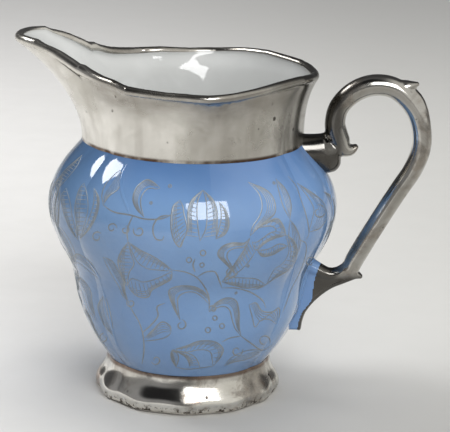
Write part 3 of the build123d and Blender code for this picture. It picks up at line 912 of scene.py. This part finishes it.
# Flowers: each petal is two edges from the cup to the rim, shaded inward from the first
PETALS = [
    ([(172, 270), (163, 263), (152, 256), (140, 250), (128, 242)],
     [(172, 271), (158, 270), (146, 268), (136, 260), (128, 242)]),
    ([(172, 271), (171, 279), (163, 284), (152, 290), (148, 297), (137, 296), (127, 286)],
     [(172, 271), (163, 276), (153, 280), (143, 282), (137, 280), (131, 279), (127, 286)]),
    ([(128, 242), (121, 252), (118, 262), (122, 276), (127, 286)],
     [(128, 242), (131, 254), (134, 264), (129, 273), (127, 286)]),
    ([(184, 239), (180, 247), (174, 240), (171, 225), (173, 207), (180, 200)],
     [(184, 239), (187, 230), (186, 222), (184, 214), (183, 207), (180, 200)]),
    ([(184, 239), (188, 228), (188, 212), (192, 200), (203, 190)],
     [(200, 241), (198, 228), (197, 212), (198, 200), (203, 190)]),
    ([(216, 239), (217, 226), (217, 212), (213, 200), (203, 190)],
     [(200, 241), (206, 228), (207, 212), (206, 200), (203, 190)]),
    ([(216, 239), (225, 234), (229, 224), (226, 211), (219, 202)],
     [(216, 239), (219, 228), (221, 220), (221, 210), (219, 202)]),
    ([(252, 242), (256, 250), (265, 243), (275, 238), (285, 234), (281, 222), (274, 219), (258, 228)],
     [(252, 242), (257, 242), (263, 238), (270, 233), (276, 231), (274, 227), (268, 226), (258, 228)]),
    ([(285, 234), (293, 240), (297, 250), (295, 262), (288, 270), (278, 276), (266, 285)],
     [(285, 234), (288, 243), (289, 251), (286, 259), (281, 265), (274, 270), (266, 285)]),
    ([(257, 250), (262, 256), (272, 255), (281, 250), (288, 246)],
     [(257, 250), (264, 250), (271, 248), (279, 244), (288, 246)]),
    ([(222, 282), (233, 285), (246, 288), (258, 287), (266, 285)],
     [(222, 282), (232, 278), (244, 278), (256, 279), (266, 285)]),
    ([(250, 238), (244, 250), (236, 262), (228, 274), (222, 282)],
     [(256, 250), (250, 260), (243, 268), (233, 276), (222, 282)]),
    ([(213, 366), (220, 358), (223, 349), (215, 342), (200, 341), (186, 346), (172, 350)],
     [(213, 366), (212, 358), (211, 353), (206, 350), (197, 350), (187, 352), (172, 350)]),
    ([(176, 367), (172, 360), (171, 354), (172, 350)],
     [(176, 367), (178, 361), (178, 355), (172, 350)]),
    ([(190, 367), (188, 360), (183, 355), (172, 350)],
     [(200, 368), (197, 360), (190, 354), (172, 350)]),
    ([(78, 240), (70, 229), (64, 214), (61, 197), (66, 188)],
     [(78, 240), (75, 228), (72, 215), (70, 202), (66, 188)]),
    ([(78, 240), (76, 222), (75, 206), (79, 190), (84, 183)],
     [(80, 238), (85, 222), (88, 208), (87, 195), (84, 183)]),
    ([(80, 239), (90, 228), (97, 214), (99, 199), (94, 188)],
     [(80, 239), (86, 226), (91, 213), (94, 201), (94, 188)]),
    ([(56, 190), (58, 180), (65, 170), (74, 162), (82, 155)],
     [(56, 190), (63, 183), (70, 175), (77, 166), (82, 155)]),
]

# Motifs used again under the lip and beside the handle: the slice of the list, its centre in
# pixels, and where it goes as a turn in degrees and a height in mm
MOVED_FLOWERS = [
    (3, 7, (200, 218), -165, 63),
    (0, 3, (148, 268), -167, 43),
]
MOVED_LEAVES = [
    (3, 5, (205, 305), -166, 27),
    (1, 2, (260, 208), -14, 61),
    (9, 10, (115, 280), -10, 52),
]

# Low ribs that catch the light along the belly's creases
RIBS = [
    [(127, 164), (123, 172), (121, 182), (122, 193), (126, 204), (129, 214)],
    [(101, 283), (105, 298), (109, 314), (112, 328), (116, 342), (122, 354)],
    [(84, 258), (92, 266), (98, 275), (101, 283)],
    [(325, 178), (330, 192), (333, 206), (333, 220)],
    [(296, 262), (292, 276), (288, 290), (284, 304), (279, 320), (272, 334)],
]

# The scale of the belly's front in the frame, by which moved motifs are sized
PIXELS_PER_MM = 3.15


def sight_line(x, y):
    """The camera's place and the way to a pixel."""
    turn = Euler([math.radians(a) for a in CAMERA_TURN]).to_matrix()
    way = turn @ Vector(((x - FRAME_WIDTH / 2) / FOCAL, (FRAME_HEIGHT / 2 - y) / FOCAL, -1.0))
    return Vector(CAMERA_PLACE), way.normalized()


def level_line(x, y, centre, turn, height):
    """A line from beside the belly straight in to its axis, for a motif moved from its
    pixel centre to a turn about the axis in degrees and a height in mm."""
    a = math.radians(turn + math.degrees((x - centre[0]) / PIXELS_PER_MM / BELLY_R))
    out = Vector((math.cos(a), math.sin(a), 0))
    start = out * OUTSIDE_R + Vector((0, 0, (height - (y - centre[1]) / PIXELS_PER_MM) * MM))
    return start, -out


glaze_tree = tree_of(belly_piece)


def on_glaze(points, moved):
    """Places and normals on the glaze along a curve through pixel points."""
    length = np.hypot(*np.diff(np.array(points, float), axis=0).T).sum()
    track = []
    for x, y in along_curve(points, max(FEWEST_STEPS, int(length / STEP_PIXELS))):
        start, way = level_line(x, y, *moved) if moved else sight_line(x, y)
        place, normal, index, depth = glaze_tree.ray_cast(start, way)
        if place is not None and normal.dot(way) < -LEAST_FACING:
            track.append((place, normal))
    return track


def draw(mesh, points, width, fade=True, rise=LINE_RISE, moved=None):
    """A raised line over the glaze through pixel points, and its mirror image behind. Moved,
    if given, is the motif's centre, turn and height."""
    track = on_glaze(points, moved)
    if len(track) < FEWEST_STEPS:
        return
    last = len(track) - 1
    for side in (1, -1):
        rows = []
        for k, (place, normal) in enumerate(track):
            ahead = track[min(k + 1, last)][0] - track[max(k - 1, 0)][0]
            to_end = min(k, last - k) / len(track)
            taper = min(1.0, END_WIDTH + END_WIDENING * to_end) if fade else 1.0
            across = normal.cross(ahead).normalized() * width / 2 * MM * taper
            low = place + normal * EDGE_CLEARANCE * MM
            high = low + normal * rise * MM * taper
            row = []
            for spot in (low - across, high - across * CROWN, high + across * CROWN, low + across):
                row.append(mesh.verts.new((spot.x, spot.y * side, spot.z)))
            rows.append(row)
        for a, b in zip(rows, rows[1:]):
            for k in range(3):
                corners = (a[k], b[k], b[k + 1], a[k + 1])
                mesh.faces.new(corners if side > 0 else corners[::-1])


def shaded(mesh, one, two, count, reach, moved):
    """Both edges of a leaf or petal and the shading lines beside the first."""
    draw(mesh, one, LINE, moved=moved)
    draw(mesh, two, LINE * SECOND_EDGE, moved=moved)
    first = along_curve(one, EDGE_POINTS)
    second = along_curve(two, EDGE_POINTS)
    for k in range(1, count + 1):
        share = reach * k / (count + 1)
        between = first + (second - first) * share
        draw(mesh, [tuple(p) for p in between[1:-1]], FINE, moved=moved)


def leaf(mesh, one, two, moved=None):
    shaded(mesh, one, two, *LEAF_SHADING, moved)


def petal(mesh, one, two, hatches, moved=None):
    """A shaded petal with short lines across it."""
    shaded(mesh, one, two, *PETAL_SHADING, moved)
    first = along_curve(one, hatches + 2)
    second = along_curve(two, hatches + 2)
    for a, b in zip(first[1:-1], second[1:-1]):
        end = a + (b - a) * HATCH_REACH
        draw(mesh, [tuple(a), tuple((a + b) / 2), tuple(end)], FINE, moved=moved)


def curl(mesh, x, y, radius, start, spin):
    """A tendril's end that winds in, from its first angle in degrees, one way or the other."""
    spiral = []
    for k in range(CURL_POINTS):
        a = math.radians(start + spin * CURL_TURN * k)
        r = radius * (1 - CURL_CLOSING * k)
        spiral.append((x + r * math.cos(a), y - r * math.sin(a)))
    draw(mesh, spiral, LINE)


def berry(mesh, x, y, radius):
    circle = []
    for k in range(BERRY_SIDES + 1):
        a = math.radians(360 / BERRY_SIDES * k)
        circle.append((x + radius * math.cos(a), y - radius * math.sin(a)))
    draw(mesh, circle, LINE * BERRY_LINE, fade=False)


def decoration():
    lines = bmesh.new()
    for points in STEMS:
        draw(lines, points, LINE)
    for numbers in CURLS:
        curl(lines, *numbers)
    for numbers in BERRIES:
        berry(lines, *numbers)
    for one, two in LEAVES:
        leaf(lines, one, two)
    for one, two in PETALS:
        petal(lines, one, two, PETAL_HATCHES)
    for first, last, centre, turn, height in MOVED_FLOWERS:
        for one, two in PETALS[first:last]:
            petal(lines, one, two, MOVED_HATCHES, (centre, turn, height))
    for first, last, centre, turn, height in MOVED_LEAVES:
        for one, two in LEAVES[first:last]:
            leaf(lines, one, two, (centre, turn, height))
    add_piece("decoration", lines, "line", "silver")


def glaze_ribs():
    ribs = bmesh.new()
    for points in RIBS:
        draw(ribs, points, RIB_WIDTH, rise=RIB_RISE)
    add_piece("glaze_ribs", ribs, "glaze", "blue_glaze")


decoration()
glaze_ribs()


# Stage, lights and camera

# Places are in metres, and each pair of floor places runs from where a tone starts to where
# it is full
FLOOR_LEFT = -1.6
FLOOR_RIGHT = 1.6
FLOOR_FRONT = -1.2
FLOOR_BACK = 1.6
FLOOR_Z = -0.0002
RIGHTWARD_X = (-0.16, 0.14)
FAR_Y = (0.3, 0.85)
CLOSE_Y = (0.1, -0.15)
CLOSE_X = (-0.07, 0.02)
AIM = (0, 0, 0.06)

PAINTED_LIT_FLOOR = (0.94, 0.93, 0.915)
PAINTED_SHADED_FLOOR = (0.67, 0.665, 0.64)
FAR_PAINTED_SHADE = (0.42, 0.42, 0.415)
CLOSE_PAINTED_SHADOW = (0.4, 0.39, 0.37)
GRAINY_FLOOR = (0.5, 0.5, 0.48)
LEFT_ROOM = (0.26, 0.26, 0.265)
MIDDLE_ROOM = (0.13, 0.13, 0.132)
RIGHT_ROOM = (0.75, 0.74, 0.71)
BACK_ROOM = (0.07, 0.07, 0.073)
PATCH_ROOM = (0.012, 0.012, 0.013)
LOW_ROOM = (0.45, 0.445, 0.43)
PATCH_WAY = (-0.33, -0.48, 0.81)


def floor_plane():
    """The pale floor, with painted light and shade: lighter at the left, darker far behind, and
    a painted shadow close in front.
    """
    corners = [
        (FLOOR_LEFT, FLOOR_FRONT, FLOOR_Z),
        (FLOOR_RIGHT, FLOOR_FRONT, FLOOR_Z),
        (FLOOR_RIGHT, FLOOR_BACK, FLOOR_Z),
        (FLOOR_LEFT, FLOOR_BACK, FLOOR_Z),
    ]
    mesh = bpy.data.meshes.new("floor")
    mesh.from_pydata(corners, [], [(0, 1, 2, 3)])
    plane = bpy.data.objects.new("floor", mesh)
    bpy.context.scene.collection.objects.link(plane)
    material, tree, shader, coords = new_material("floor")
    x, y, z = axes_of(tree, coords)
    # Painted light and shade: the floor lighter at the left, darker at the right and far behind
    tone = mix(tree, span(tree, x, *RIGHTWARD_X), PAINTED_LIT_FLOOR, PAINTED_SHADED_FLOOR)
    far = multiply(tree, span(tree, y, *FAR_Y), 0.6)
    tone = mix(tree, far, tone, FAR_PAINTED_SHADE)
    # A painted shadow on the floor close in front, at the right
    close = multiply(tree, span(tree, y, *CLOSE_Y), span(tree, x, *CLOSE_X, 0.35, 1.0))
    tone = mix(tree, close, tone, CLOSE_PAINTED_SHADOW)
    grain = noise(tree, coords, scale=60, detail=4, rough=0.6)
    tone = mix(tree, span(tree, grain, 0.3, 0.7, 0.0, 0.05), tone, GRAINY_FLOOR)
    link(tree, tone, shader.inputs["Base Color"])
    shader.inputs["Roughness"].default_value = 0.85
    shader.inputs["Specular IOR Level"].default_value = 0.1
    mesh.materials.append(material)


def area_light(name, place, size, power):
    """A rectangular lamp turned towards the jug."""
    light = bpy.data.lights.new(name, "AREA")
    light.shape = "RECTANGLE"
    light.size, light.size_y = size
    light.energy = power
    lamp = bpy.data.objects.new(name, light)
    bpy.context.scene.collection.objects.link(lamp)
    lamp.location = place
    lamp.rotation_euler = (Vector(place) - Vector(AIM)).to_track_quat("Z", "Y").to_euler()
    return lamp


def room_light():
    """Plain greys by direction: dull at the left, dark in the middle, bright at the right,
    darker behind, nearly black in a patch high in front, and paler below the horizon."""
    world = bpy.data.worlds.new("room")
    bpy.context.scene.world = world
    world.use_nodes = True
    tree = world.node_tree
    tree.nodes.clear()
    way = tree.nodes.new("ShaderNodeTexCoord").outputs["Generated"]
    x, y, z = axes_of(tree, way)
    tone = mix(tree, span(tree, x, -0.7, -0.15), LEFT_ROOM, MIDDLE_ROOM)
    tone = mix(tree, span(tree, x, 0.1, 0.5), tone, RIGHT_ROOM)
    tone = mix(tree, span(tree, y, 0.0, 0.5), tone, BACK_ROOM)
    patch = tree.nodes.new("ShaderNodeVectorMath")
    patch.operation = "DOT_PRODUCT"
    link(tree, way, patch.inputs[0])
    patch.inputs[1].default_value = PATCH_WAY
    tone = mix(tree, span(tree, patch.outputs["Value"], 0.8, 0.93), tone, PATCH_ROOM)
    tone = mix(tree, span(tree, z, -0.02, 0.06), LOW_ROOM, tone)
    background = tree.nodes.new("ShaderNodeBackground")
    link(tree, tone, background.inputs["Color"])
    output = tree.nodes.new("ShaderNodeOutputWorld")
    link(tree, background.outputs[0], output.inputs["Surface"])


floor_plane()
area_light("window_front", (0.33, -1.06, 0.85), size=(0.75, 0.6), power=10.5)
area_light("window_left", (-1.05, 0.42, 1.1), size=(0.5, 0.5), power=7)
ceiling = area_light("ceiling", (0.1, 0.1, 1.5), size=(0.9, 0.9), power=9.5)
ceiling.visible_glossy = False
room_light()

camera = bpy.data.objects.new("camera", bpy.data.cameras.new("camera"))
bpy.context.scene.collection.objects.link(camera)
camera.location = CAMERA_PLACE
camera.rotation_euler = [math.radians(a) for a in CAMERA_TURN]
camera.data.lens = CAMERA_LENS
camera.data.sensor_width = SENSOR_WIDTH
bpy.context.scene.camera = camera
bpy.context.scene.view_settings.view_transform = "Standard"
